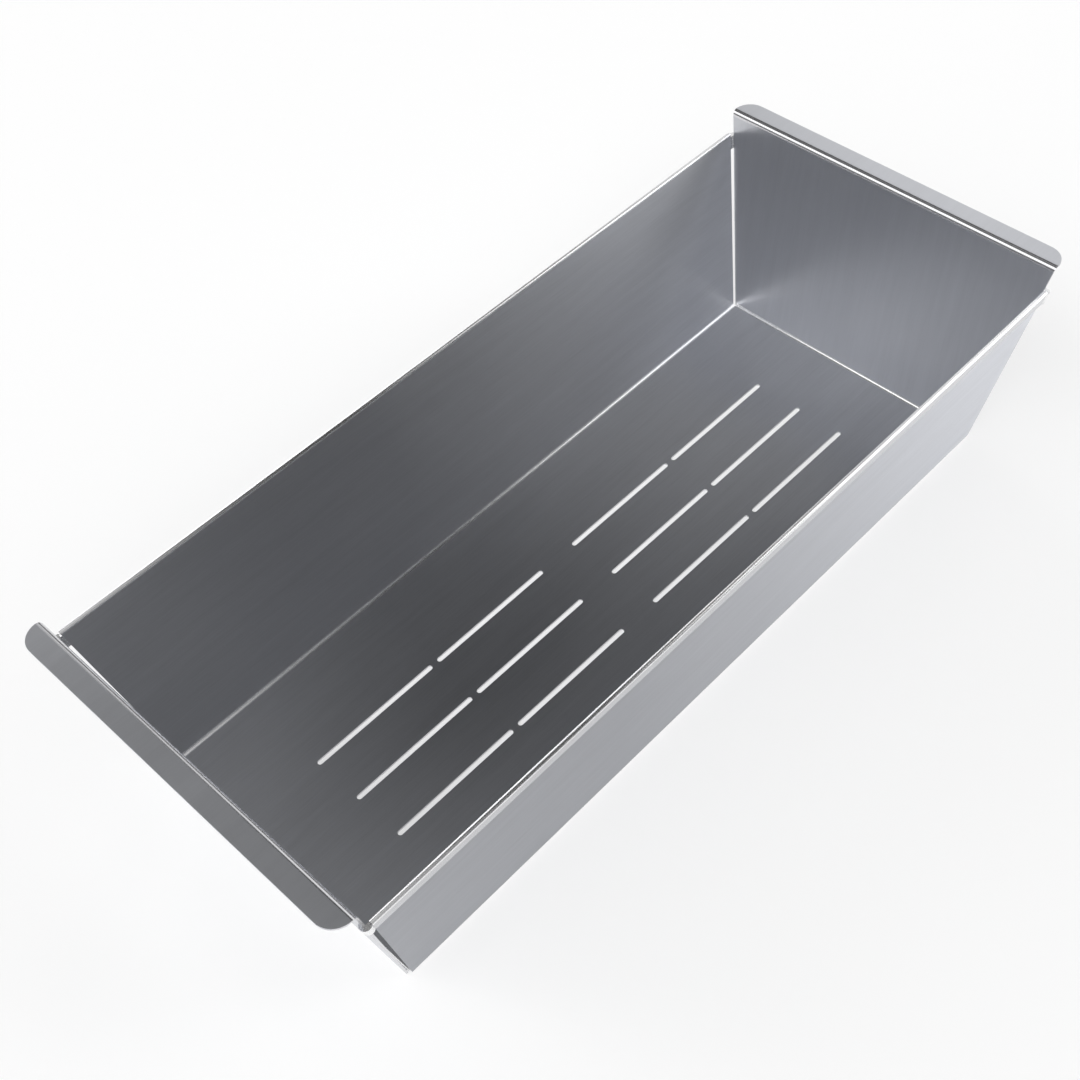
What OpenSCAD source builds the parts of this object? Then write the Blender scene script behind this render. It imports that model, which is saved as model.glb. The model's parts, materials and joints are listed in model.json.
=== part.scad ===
// Drainer tray of sheet steel that hangs in a sink by the flanges at its two ends.
// A slotted trough with hemmed rims is closed by two end panels, which are welded
// along the bottom and at the top of each open corner.
// X runs along the tray, Y across it and Z up. The underside lies on Z = 0.

/* [Tray] */
// Inside length at the rim
top_l = 406; // [380:1:520]
// Inside length at the bottom
bottom_l = 372; // [340:1:400]
// Inside width at the rim
top_w = 180.5; // [150:0.5:300]
// Inside width at the bottom
bottom_w = 147; // [110:0.5:176]
// Depth from the rim to the inside of the bottom
depth = 93; // [50:1:150]
// Thickness of the sheet
sheet_t = 1; // [0.6:0.1:1.5]
// Inside radius of the folds along the bottom
fold_r = 1.5; // [0.8:0.1:4]

/* [Rim hems] */
// Height of the leaf folded down outside each long wall
hem_h = 6.5; // [5:0.5:14]
// Space between the wall and that leaf
hem_gap = 0.3; // [0.2:0.1:0.8]

/* [End panels] */
// Rise of each end panel above the rim
ear_h = 11; // [6:0.5:30]
// Reach of the hanging flange beyond its panel
flange_l = 11; // [9.5:0.1:30]
// Radius of the flange's free corners
corner_r = 9; // [3:0.5:9.5]
// Inside radius of the fold between panel and flange
flange_fold_r = 1.8; // [0.8:0.1:3]

/* [Open corners] */
// Gap between a long wall and its end panel, at the rim
wall_gap_top = 1.8; // [1.2:0.1:2.1]
// Gap between a long wall and its end panel, at the bottom
wall_gap_bottom = 1.1; // [0.6:0.1:2.1]
// Gap between a panel's side edge and the corner line
panel_gap = 0.4; // [0.2:0.1:1]
// Distance from the rim down to the top of the open slit
slit_drop = 8; // [5:0.5:12]
// Distance from the rim down to the top of the corner weld
notch_drop = 1.8; // [1:0.1:3]
// Radius of the corner weld about the corner line
weld_r = 2.4; // [2.2:0.1:3]

/* [Seam welds] */
// Gap between the bottom's end and the panel's foot, which the weld fills
root_gap = 0.5; // [0.3:0.1:0.8]
// Radius of the weld's hollow inner face
seam_r = 1.5; // [0.8:0.1:3]

/* [Drain slots] */
// Length of one slot
slot_l = 67; // [30:1:75]
// Width of one slot
slot_w = 2.5; // [1.5:0.1:4]
// Bridge between the two slots of a pair
pair_gap = 3.7; // [2:0.1:10]
// Bridge between the two pairs of a row
middle_gap = 20.6; // [5:0.1:40]
// Distance between rows
row_pitch = 25.6; // [10:0.1:45]
// Number of rows
rows = 3; // [1:1:3]

/* [Hidden] */
$fn = 96;
floor_z = sheet_t;
rim_z = floor_z + depth;
flange_z = rim_z + ear_h;
end_slope = (top_l - bottom_l) / 2 / depth;
side_slope = (top_w - bottom_w) / 2 / depth;
end_lean = atan(end_slope);
side_lean = atan(side_slope);
flange_tip = end_x(flange_z) + flange_l;
flange_w = 2 * (side_y(flange_z) - panel_gap);

// Distances up a leaning sheet from the bottom's inner corner.
hem_r = sheet_t + hem_gap / 2;
side_run = depth / cos(side_lean) - corner_run(hem_r, side_lean);
hem_foot = side_run + hem_r - hem_h;
end_run = (depth + ear_h) / cos(end_lean);
flat_w = bottom_w - 2 * corner_run(fold_r, side_lean);
over = 5;
// Lets each arc cross the straight faces it meets.
hair = 0.002;

// Inner faces of the end panels and of the long walls at height z.
function end_x(z) = bottom_l / 2 + (z - floor_z) * end_slope;
function side_y(z) = bottom_w / 2 + (z - floor_z) * side_slope;
// Ends of the long walls at height z.
function wall_x(z) =
    end_x(z) - wall_gap_bottom - (z - floor_z) * (wall_gap_top - wall_gap_bottom) / depth;

// Point of a leaning sheet's section: out is through its thickness from the inner
// face, and up is along it from the bottom's inner corner at foot.
function on_sheet(foot, lean, out, up) = [
    foot + out * cos(lean) + up * sin(lean),
    floor_z - out * sin(lean) + up * cos(lean)
];
function on_side(out, up) = on_sheet(bottom_w / 2, side_lean, out, up);
function on_end(out, up) = on_sheet(bottom_l / 2, end_lean, out, up);
// How much sooner a level face meets a leaning one when both move in by d.
function corner_run(d, lean) = d * (1 - sin(lean)) / cos(lean);
function toward(angle) = [cos(angle), sin(angle)];
function mirrored(points) = [for (i = [len(points) - 1 : -1 : 0]) [-points[i].x, points[i].y]];

// Sections are drawn with the part's Y or X across and Z up.
module along_x(length) {
    rotate([90, 0, 90])
        linear_extrude(length, center = true)
            children();
}

module along_y(length) {
    rotate([90, 0, 0])
        linear_extrude(length, center = true)
            children();
}

module both_sides() {
    children();
    mirror([1, 0])
        children();
}

// Corner between two straight faces at distance r from the origin, which they
// are nearest in the directions from and to.
module corner(r, from, to) {
    middle = (from + to) / 2;
    polygon([
        [0, 0],
        r * toward(from),
        r / cos(to - middle) * toward(middle),
        r * toward(to)
    ]);
}

// Fills the hollow side of a fold to its radius.
module fold_fill(r, from, to) {
    difference() {
        corner(r + sheet_t / 2, from, to);
        circle(r + hair);
    }
}

// Cuts a corner back to its radius.
module round_off(r, from, to) {
    difference() {
        corner(2 * r, from, to);
        circle(r + hair);
    }
}

module trough_section() {
    side = [
        on_side(sheet_t, -corner_run(sheet_t, side_lean)),
        on_side(sheet_t, hem_foot),
        on_side(2 * hem_r, hem_foot),
        on_side(2 * hem_r, side_run),
        on_side(0, side_run),
        on_side(0, 0)
    ];
    hem_slit = [
        on_side(sheet_t, hem_foot),
        on_side(sheet_t + hem_gap, hem_foot - over),
        on_side(sheet_t + hem_gap, side_run),
        on_side(sheet_t, side_run)
    ];
    fold_centre = on_side(-fold_r, corner_run(fold_r, side_lean));
    hem_centre = on_side(hem_r, side_run);
    difference() {
        union() {
            polygon(concat(side, mirrored(side)));
            both_sides() {
                translate(fold_centre)
                    fold_fill(fold_r, -90, -side_lean);
                translate(hem_centre)
                    circle(hem_r + hair);
            }
        }
        both_sides() {
            translate(fold_centre)
                round_off(fold_r + sheet_t, -90, -side_lean);
            translate(hem_centre)
                circle(hem_gap / 2 + hair);
            polygon(hem_slit);
        }
    }
}

module end_panel_section() {
    fold_out = sheet_t + flange_fold_r;
    fold_centre = on_end(fold_out, end_run - corner_run(fold_out, end_lean));
    difference() {
        union() {
            polygon([
                on_end(0, 0),
                on_end(sheet_t, 0),
                on_end(sheet_t, end_run - corner_run(sheet_t, end_lean)),
                [flange_tip, flange_z - sheet_t],
                [flange_tip, flange_z],
                on_end(0, end_run)
            ]);
            translate(fold_centre)
                fold_fill(flange_fold_r, 90, 180 - end_lean);
        }
        translate(fold_centre)
            round_off(fold_out, 90, 180 - end_lean);
    }
}

// Room between two leaning planes, low and high being their distances from the
// middle at the inside bottom and at the rim.
module leaning_room(low, high) {
    slope = (high - low) / depth;
    below = low - slope * over;
    above = high + slope * (ear_h + over);
    polygon([
        [-below, floor_z - over],
        [below, floor_z - over],
        [above, flange_z + over],
        [-above, flange_z + over]
    ]);
}

module trough_sheet() {
    intersection() {
        along_x(top_l)
            trough_section();
        along_y(top_w + 4 * over)
            leaning_room(wall_x(floor_z), wall_x(rim_z));
    }
    linear_extrude(sheet_t)
        bottom_plan();
}

module bottom_plan() {
    square([bottom_l - 2 * root_gap, flat_w], center = true);
}

module slot() {
    square([slot_l - slot_w, slot_w], center = true);
    for (side = [-1, 1])
        translate([side * (slot_l - slot_w) / 2, 0])
            circle(slot_w / 2 + hair);
}

module drain_slots() {
    inner_x = (middle_gap + slot_l) / 2;
    outer_x = inner_x + slot_l + pair_gap;
    for (row = [0 : rows - 1], x = [-outer_x, -inner_x, inner_x, outer_x])
        translate([x, (row - (rows - 1) / 2) * row_pitch])
            slot();
}

module trough() {
    color("silver")
        difference() {
            trough_sheet();
            translate([0, 0, -over])
                linear_extrude(3 * over)
                    drain_slots();
        }
}

// Plan of an end panel: the flange's free corners are rounded.
module flange_plan() {
    difference() {
        translate([0, -flange_w / 2])
            square([flange_tip, flange_w]);
        for (side = [-1, 1])
            translate([flange_tip - corner_r, side * (flange_w / 2 - corner_r)])
                round_off(corner_r, min(0, side * 90), max(0, side * 90));
    }
}

module end_panel_sheet() {
    intersection() {
        along_y(flange_w + over)
            end_panel_section();
        along_x(2 * flange_tip + over)
            leaning_room(side_y(floor_z) - panel_gap, side_y(rim_z) - panel_gap);
        linear_extrude(flange_z + over)
            flange_plan();
    }
}

module end_panel_right() {
    color("gainsboro")
        end_panel_sheet();
}

module end_panel_left() {
    mirror([1, 0, 0])
        end_panel_right();
}

// Bead that joins the bottom's end to a panel's foot through the root gap. It is
// ground to a hollow radius inside and rounded outside.
module seam_weld_section() {
    corner_x = bottom_l / 2;
    translate([corner_x, floor_z])
        intersection() {
            circle(sheet_t);
            corner(2 * sheet_t, -95, 5 - end_lean);
        }
    translate([corner_x - sheet_t, 0])
        square(sheet_t);
    translate(on_end(-seam_r, corner_run(seam_r, end_lean)))
        fold_fill(seam_r, -90, -end_lean);
}

module seam_weld_right() {
    color("lightsteelblue")
        difference() {
            along_y(flat_w)
                difference() {
                    seam_weld_section();
                    end_panel_section();
                }
            linear_extrude(sheet_t)
                bottom_plan();
        }
}

module seam_weld_left() {
    mirror([1, 0, 0])
        seam_weld_right();
}

// Bead that closes one corner just below the rim. It fills the gap from the long
// wall's end, round the panel's edge and onto the panel's outer face.
module corner_weld() {
    lean = atan(norm([end_slope, side_slope]));
    turn = atan2(side_slope, end_slope);
    color("lightsteelblue")
        difference() {
            intersection() {
                translate([bottom_l / 2, bottom_w / 2, floor_z])
                    rotate([0, lean, turn])
                        rotate(180)
                            cylinder(r = weld_r, h = 2 * depth);
                translate([0, 0, rim_z - slit_drop])
                    cube([flange_tip + over, flange_w, slit_drop - notch_drop]);
            }
            along_y(2 * top_w)
                leaning_room(wall_x(floor_z), wall_x(rim_z));
            intersection() {
                along_y(2 * top_w)
                    leaning_room(end_x(floor_z) + hair, end_x(rim_z) + hair);
                along_x(2 * top_l)
                    leaning_room(side_y(floor_z), side_y(rim_z));
            }
            end_panel_sheet();
        }
}

module corner_weld_back_right() {
    corner_weld();
}

module corner_weld_back_left() {
    mirror([1, 0, 0])
        corner_weld();
}

module corner_weld_front_right() {
    mirror([0, 1, 0])
        corner_weld();
}

module corner_weld_front_left() {
    mirror([1, 0, 0])
        mirror([0, 1, 0])
            corner_weld();
}

trough();
end_panel_left();
end_panel_right();
seam_weld_left();
seam_weld_right();
corner_weld_front_left();
corner_weld_front_right();
corner_weld_back_left();
corner_weld_back_right();
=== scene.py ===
"""Looks of a hanging drainer tray of brushed sheet steel, on a pale studio floor."""
import json
import math

import bpy
from mathutils import Matrix, Vector

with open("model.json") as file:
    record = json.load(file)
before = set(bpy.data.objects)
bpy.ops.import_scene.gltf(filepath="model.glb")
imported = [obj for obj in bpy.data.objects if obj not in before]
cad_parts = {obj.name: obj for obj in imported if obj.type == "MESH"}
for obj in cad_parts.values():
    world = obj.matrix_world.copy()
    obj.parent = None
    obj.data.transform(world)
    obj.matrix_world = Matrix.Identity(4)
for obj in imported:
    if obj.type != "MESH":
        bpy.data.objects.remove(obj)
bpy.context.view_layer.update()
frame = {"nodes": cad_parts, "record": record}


# Node helpers


def add(tree, kind, **settings):
    """Adds a node. A setting is an attribute, or a value for the input of that name."""
    node = tree.nodes.new(kind)
    for key, value in settings.items():
        if hasattr(node, key):
            setattr(node, key, value)
        else:
            node.inputs[key.replace("_", " ")].default_value = value
    return node


def math_node(tree, operation, a, b=None):
    """A sum on numbers or on other nodes' outputs."""
    node = add(tree, "ShaderNodeMath", operation=operation)
    for socket, value in zip(node.inputs, (a, b)):
        if value is None:
            continue
        if isinstance(value, (int, float)):
            socket.default_value = value
        else:
            tree.links.new(value, socket)
    return node.outputs[0]


def both(tree, a, b):
    return math_node(tree, "MULTIPLY", a, b)


def either(tree, a, b):
    return math_node(tree, "MAXIMUM", a, b)


def ramp(tree, value, start, stop, shape):
    """0 at start and 1 at stop, and level beyond."""
    node = add(tree, "ShaderNodeMapRange", interpolation_type=shape)
    node.inputs["From Min"].default_value = start
    node.inputs["From Max"].default_value = stop
    tree.links.new(value, node.inputs["Value"])
    return node.outputs["Result"]


def over_line(tree, value, limit, soft):
    """0 below the limit and 1 above it, with a soft step between."""
    return ramp(tree, value, limit - soft, limit + soft, "SMOOTHSTEP")


def under_line(tree, value, limit, soft):
    return math_node(tree, "SUBTRACT", 1.0, over_line(tree, value, limit, soft))


def noise(tree, place, scale, detail, roughness=0.5):
    """Noise of so many cells per metre. A list of three scales stretches it along the axes."""
    node = add(tree, "ShaderNodeTexNoise", Detail=detail, Roughness=roughness)
    if isinstance(scale, list):
        stretch = add(tree, "ShaderNodeMapping", Scale=scale)
        tree.links.new(place, stretch.inputs["Vector"])
        place, scale = stretch.outputs["Vector"], 1.0
    node.inputs["Scale"].default_value = scale
    tree.links.new(place, node.inputs["Vector"])
    return node.outputs["Fac"]


def swing(tree, value, size):
    """Centres a noise on 0 and scales it."""
    return math_node(tree, "MULTIPLY", math_node(tree, "SUBTRACT", value, 0.5), size)


def relief(tree, height, strength, distance):
    bump = add(tree, "ShaderNodeBump", Strength=strength, Distance=distance)
    tree.links.new(height, bump.inputs["Height"])
    return bump.outputs["Normal"]


def scaled(colour, factor):
    return tuple(min(1.0, part * factor) for part in colour)


def mix_colours(tree, share, first, second):
    """Mixes two colours by another node's output. The first may be such an output too."""
    node = add(tree, "ShaderNodeMixRGB", blend_type="MIX")
    if isinstance(first, tuple):
        node.inputs["Color1"].default_value = (*first, 1)
    else:
        tree.links.new(first, node.inputs["Color1"])
    node.inputs["Color2"].default_value = (*second, 1)
    tree.links.new(share, node.inputs["Fac"])
    return node.outputs["Color"]


def mix_shaders(tree, share, first, second):
    """Mixes two shaders by a number or by another node's output."""
    node = add(tree, "ShaderNodeMixShader")
    if isinstance(share, float):
        node.inputs["Fac"].default_value = share
    else:
        tree.links.new(share, node.inputs["Fac"])
    tree.links.new(first.outputs[0], node.inputs[1])
    tree.links.new(second.outputs[0], node.inputs[2])
    return node


def fresh_material(name):
    """A new material, its node tree and the place on the object in metres."""
    mat = bpy.data.materials.new(name)
    mat.use_nodes = True
    tree = mat.node_tree
    tree.nodes.clear()
    return mat, tree, add(tree, "ShaderNodeTexCoord").outputs["Object"]


def finish_surface(tree, shader):
    out = add(tree, "ShaderNodeOutputMaterial")
    tree.links.new(shader.outputs[0], out.inputs["Surface"])


# Sizes of the tray

# Driving sizes as in part.scad, here in metres.
MM = 0.001
SHEET_T = 1 * MM
DEPTH = 93 * MM
TOP_L, BOTTOM_L = 406 * MM, 372 * MM
TOP_W, BOTTOM_W = 180.5 * MM, 147 * MM
FOLD_R = 1.5 * MM
HEM_GAP = 0.3 * MM
EAR_H = 11 * MM
FLANGE_FOLD_R = 1.8 * MM

RIM_Z = SHEET_T + DEPTH
FLANGE_Z = RIM_Z + EAR_H
SIDE_SLOPE = (TOP_W - BOTTOM_W) / 2 / DEPTH
SIDE_LEAN = math.atan(SIDE_SLOPE)
END_SLOPE = (TOP_L - BOTTOM_L) / 2 / DEPTH
END_LEAN = math.atan(END_SLOPE)


def corner_run(radius, lean):
    """How far from its corner a fold starts, between a level sheet and a leaning one."""
    return radius * math.tan((math.pi / 2 - lean) / 2)


# Steel

# Linear colours, and for worked steel its roughness. The worked and weld colours are lightened
# past plain steel as painted highlights.
TROUGH_STEEL = (0.52, 0.53, 0.56)
PANEL_STEEL = (0.56, 0.57, 0.60)
# Near-white colour: a painted highlight along the seam weld.
WELD_PAINTED_HIGHLIGHT = (0.97, 0.97, 0.97)
# Lighter colour: a painted sheen on the hem's leaf, the cuts and the panels' bends; the roughness
# is the burnish.
BURNISH_WITH_PAINTED_SHEEN = ((0.68, 0.68, 0.70), 0.24)
# Near-white colour: a painted highlight along the rim and the folds; the roughness is the rolled
# finish.
ROLLED_WITH_PAINTED_HIGHLIGHT = ((0.95, 0.95, 0.96), 0.24)

STEP = 0.2 * MM  # how softly one finish gives way to another
FACING, FACING_STEP = 0.7, 0.05  # a face looks along an axis if its normal has this much of it


def split(tree, vector):
    """The sizes of a vector's parts. The tray is the same about X = 0 and about Y = 0."""
    node = add(tree, "ShaderNodeSeparateXYZ")
    tree.links.new(vector, node.inputs[0])
    return [math_node(tree, "ABSOLUTE", part) for part in node.outputs]


def facings(tree):
    return split(tree, add(tree, "ShaderNodeNewGeometry").outputs["True Normal"])


def trough_edges(tree, place):
    """The trough is burnished on the hem's leaf and the cuts, and rolled at rim and folds; there
    its colour is lightened as painted highlights.
    """
    _, y, z = split(tree, place)
    facing_x, facing_y, _ = facings(tree)

    rim_base = RIM_Z - SHEET_T - HEM_GAP / 2
    rim = over_line(tree, z, rim_base, STEP)
    fold_start = BOTTOM_W / 2 - corner_run(FOLD_R, SIDE_LEAN)
    fold_top = SHEET_T + FOLD_R * (1 - math.sin(SIDE_LEAN))
    fold = over_line(tree, y, fold_start, STEP)
    fold = both(tree, fold, under_line(tree, z, fold_top, STEP))

    # Across from the middle of the leaf, followed down the wall's lean to Z = 0.
    leaf_face = BOTTOM_W / 2 - SHEET_T * SIDE_SLOPE
    leaf_face += (1.5 * SHEET_T + HEM_GAP) / math.cos(SIDE_LEAN)
    wall = math_node(tree, "SUBTRACT", y, math_node(tree, "MULTIPLY", z, SIDE_SLOPE))
    leaf = over_line(tree, wall, leaf_face, STEP / 2)
    leaf = both(tree, leaf, under_line(tree, z, rim_base, STEP))

    # Cuts look along X, or along Y between the long folds, where only the slots do.
    slots_inside = 60 * MM
    slots = under_line(tree, y, slots_inside, STEP)
    slots = both(tree, slots, under_line(tree, z, 1.5 * SHEET_T, STEP))
    facing = either(tree, facing_x, both(tree, facing_y, slots))
    cut = over_line(tree, facing, FACING, FACING_STEP)
    # Leaf and cuts take a lighter colour, and rim and folds a near-white one, as painted
    # highlights.
    return [(either(tree, leaf, cut), BURNISH_WITH_PAINTED_SHEEN), (either(tree, rim, fold), ROLLED_WITH_PAINTED_HIGHLIGHT)]


def panel_edges(tree, place):
    """The panels are burnished at the flange's bend and on their cut sides; there the colour is
    lightened as a painted highlight.
    """
    x, _, z = split(tree, place)
    _, facing_y, _ = facings(tree)
    bend_r = FLANGE_FOLD_R + SHEET_T
    bend_base = FLANGE_Z - bend_r * (1 - math.sin(END_LEAN))
    bend_end = BOTTOM_L / 2 + (FLANGE_Z - SHEET_T) * END_SLOPE + corner_run(bend_r, END_LEAN)
    past = 0.4 * MM  # the burnish lies this much lower and further in than the bend
    # The bend's mask lightens the colour as a painted highlight.
    bend = over_line(tree, z, bend_base - past, STEP)
    bend = both(tree, bend, under_line(tree, x, bend_end - past, STEP))
    # Bend and cut sides take a lighter colour, as a painted highlight.
    return [(either(tree, bend, over_line(tree, facing_y, FACING, FACING_STEP)), BURNISH_WITH_PAINTED_SHEEN)]


HAIRS = (2600, 60)  # fine scratches per metre, across the grain and along it
STREAKS = (240, 14)  # broad streaks per metre, the same
CLOUDS = 18  # per metre
TONE_SPAN = 0.25  # how far the darkest and the lightest steel are from the plain colour
CLOUD_ROUGHNESS = 0.08
HAIR_ROUGHNESS = 0.2  # for a grain of 1
HAIR_DEPTH = 0.02 * MM


def brushed_steel(name, edges, across, blur, turn, colour, rough, stretch, grain, mottle, tilt):
    """Brushed sheet. Its grain is fine across the axes named and long along the others.

    edges finds where the sheet is worked, and where its colour is lightened as a painted
    highlight. blur and turn give the shader's tangent and its turn, and stretch how long its
    highlights are. grain and mottle say how strongly the fine hairs and the broad streaks
    show, and tilt how far the hairs turn the normal.
    """
    mat, tree, place = fresh_material(name)
    worked_with_painted_highlight = edges(tree, place)

    def grained(sizes, detail, roughness):
        scale = [sizes[0] if axis in across else sizes[1] for axis in "XYZ"]
        return noise(tree, place, scale, detail, roughness)

    hairs = grained(HAIRS, 3.0, 0.6)
    streaks = grained(STREAKS, 2.0, 0.5)
    clouds = noise(tree, place, CLOUDS, 2.0)

    # Colour: the plain steel, a little lighter and darker along the grain, and lightened where
    # worked as a painted highlight.
    uneven = math_node(tree, "ADD", swing(tree, hairs, grain), swing(tree, streaks, mottle))
    share = math_node(tree, "ADD", uneven, 0.5)
    metal = mix_colours(tree, share, scaled(colour, 1 - TONE_SPAN), scaled(colour, 1 + TONE_SPAN))
    for mask, (bright, _) in worked_with_painted_highlight:
        metal = mix_colours(tree, mask, metal, bright)

    # Roughness: uneven in soft clouds and along the grain, smoother where worked.
    cloud = swing(tree, clouds, CLOUD_ROUGHNESS)
    hair = swing(tree, hairs, HAIR_ROUGHNESS * grain)
    gloss = math_node(tree, "ADD", math_node(tree, "ADD", cloud, hair), rough)
    for mask, (_, smooth) in worked_with_painted_highlight:
        gloss = math_node(tree, "ADD", math_node(tree, "MULTIPLY", mask, smooth - rough), gloss)

    tangent = add(tree, "ShaderNodeCombineXYZ", **{blur: 1.0})
    shader = add(tree, "ShaderNodeBsdfPrincipled", Metallic=1.0, Anisotropic=stretch)
    shader.inputs["Anisotropic Rotation"].default_value = turn
    tree.links.new(metal, shader.inputs["Base Color"])
    tree.links.new(gloss, shader.inputs["Roughness"])
    tree.links.new(relief(tree, hairs, tilt, HAIR_DEPTH), shader.inputs["Normal"])
    tree.links.new(tangent.outputs["Vector"], shader.inputs["Tangent"])
    finish_surface(tree, shader)
    return mat


SCRATCHES, RIPPLES = 1500, 260  # per metre
RIPPLE_SHADES = (0.86, 1.1)  # the darkest and the lightest, times the plain colour
SCRATCH_ROUGHNESS = 0.2
RIPPLE_DEPTH = 0.1 * MM


def weld_steel(name, colour, rough, tilt):
    """Ground and satin-polished bead: fine even scratches in no one direction. Its near-white
    colour is a painted highlight.
    """
    mat, tree, place = fresh_material(name)
    scratches = noise(tree, place, SCRATCHES, 3.0, 0.6)
    ripples = noise(tree, place, RIPPLES, 1.0, 0.4)
    metal = mix_colours(tree, ripples, *[scaled(colour, shade) for shade in RIPPLE_SHADES])
    gloss = math_node(tree, "ADD", swing(tree, scratches, SCRATCH_ROUGHNESS), rough)
    shader = add(tree, "ShaderNodeBsdfPrincipled", Metallic=1.0)
    tree.links.new(metal, shader.inputs["Base Color"])
    tree.links.new(gloss, shader.inputs["Roughness"])
    tree.links.new(relief(tree, ripples, tilt, RIPPLE_DEPTH), shader.inputs["Normal"])
    finish_surface(tree, shader)
    return mat


finishes = {
    # The grain runs along the tray, and highlights spread round its length.
    "trough_steel": brushed_steel(
        "trough_steel", trough_edges, across="YZ", blur="X", turn=0.25,
        colour=TROUGH_STEEL, rough=0.43, stretch=1.0, grain=0.5, mottle=0.25, tilt=0.2),
    # The grain runs up each panel and out along its flange.
    "panel_steel": brushed_steel(
        "panel_steel", panel_edges, across="Y", blur="Y", turn=0.0,
        colour=PANEL_STEEL, rough=0.30, stretch=0.5, grain=0.2, mottle=0.2, tilt=0.05),
    # The weld's near-white colour is a painted highlight along the seam.
    "weld_steel": weld_steel("weld_steel", WELD_PAINTED_HIGHLIGHT, rough=0.26, tilt=0.3),
}
for part in frame["record"]["subparts"]:
    for slot in frame["nodes"][part["node"]].material_slots:
        slot.material = finishes[part["material_slot"]]


# Floor

FLOOR_RADIUS = 6.0
FLOOR_CLOUDS = 3.0  # per metre
FLOOR_SHADES = ((0.81, 0.81, 0.82), (0.83, 0.83, 0.83))
SHADOW_FLOOR = (0.98, 0.98, 0.98)


def pale_floor():
    mat, tree, place = fresh_material("studio_floor")
    plain = add(tree, "ShaderNodeBsdfDiffuse")
    tone = mix_colours(tree, noise(tree, place, FLOOR_CLOUDS, 2.0), *FLOOR_SHADES)
    tree.links.new(tone, plain.inputs["Color"])
    # The camera and the metal see the floor white, with the tray's soft shadow on it.
    rays = add(tree, "ShaderNodeLightPath").outputs
    seen = either(tree, rays["Is Camera Ray"], rays["Is Glossy Ray"])
    seen = either(tree, seen, rays["Is Transmission Ray"])
    white = add(tree, "ShaderNodeEmission", Strength=1.0)
    shadow = add(tree, "ShaderNodeBsdfDiffuse", Color=(*SHADOW_FLOOR, 1))
    pale = mix_shaders(tree, 0.5, white, shadow)
    finish_surface(tree, mix_shaders(tree, seen, plain, pale))
    bpy.ops.mesh.primitive_circle_add(
        vertices=96, radius=FLOOR_RADIUS, fill_type="NGON", location=(0, 0, 0))
    floor = bpy.context.object
    floor.name = "floor"
    floor.data.materials.append(mat)


pale_floor()


# Light

# Soft light panels round the tray, in two angles in degrees: aside, from the plane X = 0
# towards +X, and about the X axis, from the back horizon at 0 over the top at 90 to the
# front horizon at 180 and on below it. A row is a panel's level and, for each angle, the
# first and last stop where it is full. It fades out to the next stop on either side.
ASIDE_STOPS = (-90, -62, -44, -30, -16, -4, 7, 15, 22, 30, 42, 90)
ABOUT_STOPS = (-90, -80, 25, 50, 90, 130, 155, 180, 205, 260, 270)
PANELS = {
    "left_front": (3.9, (-30, -16), (130, 130)),
    "left_back": (2.3, (-30, -30), (-80, 50)),
    "left_seam": (1.5, (-44, -44), (50, 90)),
    "left_top": (1.4, (-62, -30), (90, 130)),
    "middle_top": (1.2, (7, 7), (90, 90)),
    "middle_front": (0.6, (7, 7), (155, 180)),
    "wide_back": (1.6, (-30, 22), (-80, 25)),
    "wide_front": (0.4, (-30, 15), (130, 130)),
    "right_back": (1.1, (15, 30), (-80, 25)),
    "right_top": (2.3, (30, 30), (130, 130)),
    "right_end": (1.0, (42, 42), (50, 50)),
    "right_front": (4.1, (42, 42), (155, 260)),
    "right_all": (0.6, (42, 42), (50, 260)),
}
BACKDROP_LEVEL = 0.95
BACKDROP_TOP, BACKDROP_SOFT = 0.05, 0.03  # as the sine of the height above the horizon


def window(tree, angle, stops, first, last):
    """1 from the first stop to the last, fading to 0 at the stops on either side of them."""
    rising = ramp(tree, angle, stops[stops.index(first) - 1], first, "LINEAR")
    falling = ramp(tree, angle, stops[stops.index(last) + 1], last, "LINEAR")
    return both(tree, rising, falling)


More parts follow.
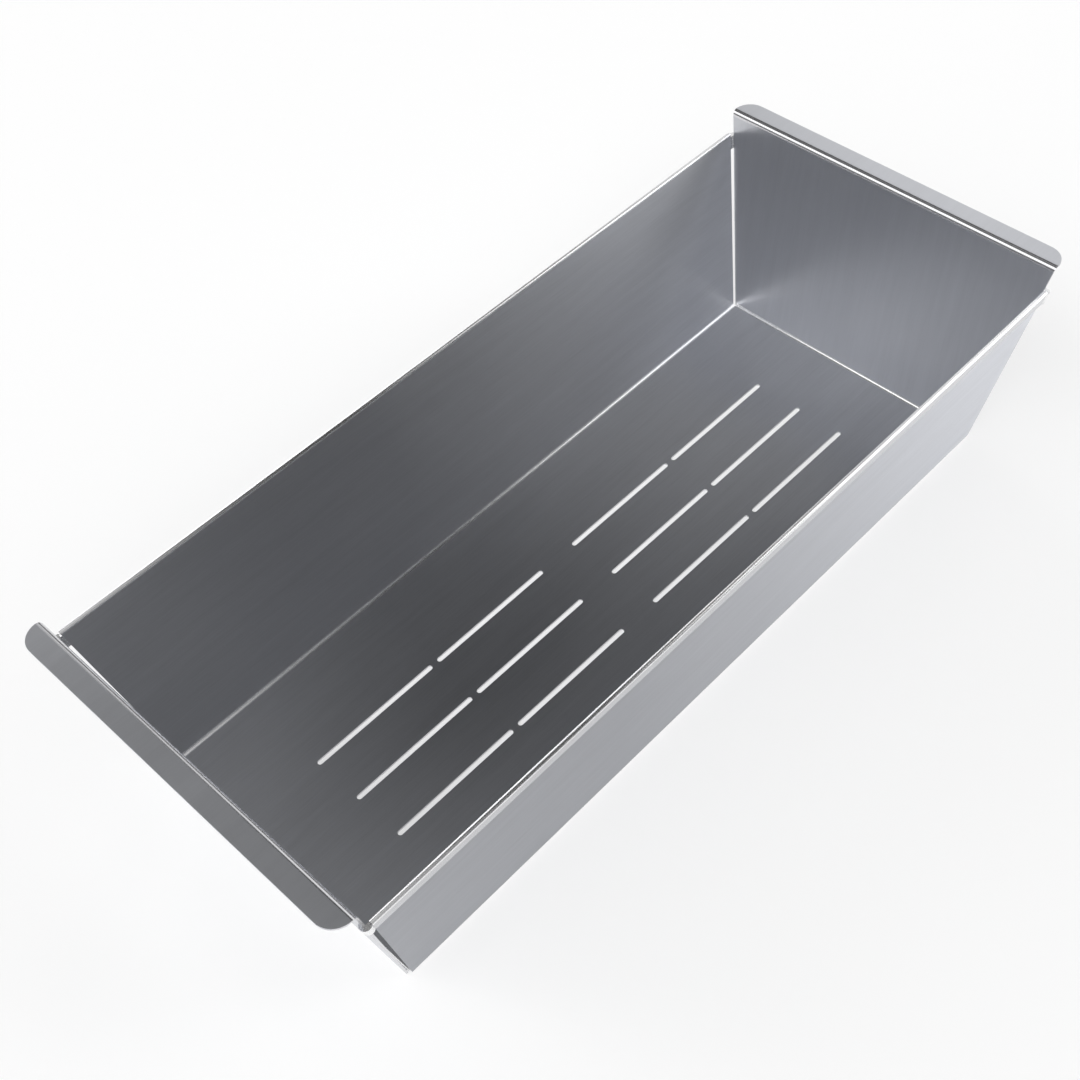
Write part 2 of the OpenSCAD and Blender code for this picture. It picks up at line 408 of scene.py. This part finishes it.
def studio_world():
    world = bpy.data.worlds.new("studio")
    bpy.context.scene.world = world
    world.use_nodes = True
    tree = world.node_tree
    tree.nodes.clear()
    look = add(tree, "ShaderNodeSeparateXYZ")
    tree.links.new(add(tree, "ShaderNodeTexCoord").outputs["Generated"], look.inputs[0])
    x, y, z = look.outputs
    aside = math_node(tree, "DEGREES", math_node(tree, "ARCSINE", x))
    about = math_node(tree, "DEGREES", math_node(tree, "ARCTAN2", z, y))
    # Below the front horizon the angle goes on past 180.
    front_low = math_node(tree, "LESS_THAN", about, -90.0)
    about = math_node(tree, "ADD", about, math_node(tree, "MULTIPLY", front_low, 360.0))
    total = 0.0
    for level, sides, heights in PANELS.values():
        glow = window(tree, aside, ASIDE_STOPS, *sides)
        glow = both(tree, glow, window(tree, about, ABOUT_STOPS, *heights))
        total = math_node(tree, "ADD", math_node(tree, "MULTIPLY", glow, level), total)
    lamps = add(tree, "ShaderNodeBackground", Color=(1, 1, 1, 1))
    tree.links.new(total, lamps.inputs["Strength"])
    # Behind the floor stands a pale backdrop. The camera sees it all round, and the metal
    # sees it low down, under the panels.
    backdrop = add(tree, "ShaderNodeBackground", Color=(1, 1, 1, 1), Strength=BACKDROP_LEVEL)
    rays = add(tree, "ShaderNodeLightPath").outputs
    mirrored = either(tree, rays["Is Glossy Ray"], rays["Is Transmission Ray"])
    low = under_line(tree, z, BACKDROP_TOP, BACKDROP_SOFT)
    seen = either(tree, rays["Is Camera Ray"], both(tree, mirrored, low))
    out = add(tree, "ShaderNodeOutputWorld")
    tree.links.new(mix_shaders(tree, seen, lamps, backdrop).outputs[0], out.inputs["Surface"])


studio_world()


# Camera, fitted to the photograph

CAMERA_PLACE = (-0.30189, -0.32663, 0.57852)
CAMERA_AHEAD = (0.42902, 0.46581, -0.77393)
CAMERA_UP = (0.59068, 0.50354, 0.63051)


def photo_camera():
    data = bpy.data.cameras.new("camera")
    data.sensor_fit = "AUTO"
    data.sensor_width = 36.0
    data.lens = 52.72
    data.shift_x = -0.04757
    data.clip_start = 0.01
    data.clip_end = 50
    camera = bpy.data.objects.new("camera", data)
    bpy.context.scene.collection.objects.link(camera)
    ahead = Vector(CAMERA_AHEAD)
    right = ahead.cross(Vector(CAMERA_UP)).normalized()
    up = right.cross(ahead).normalized()
    turn = Matrix((right, up, -ahead)).transposed()
    camera.matrix_world = Matrix.Translation(CAMERA_PLACE) @ turn.to_4x4()
    bpy.context.scene.camera = camera


photo_camera()

bpy.context.scene.view_settings.view_transform = "Standard"
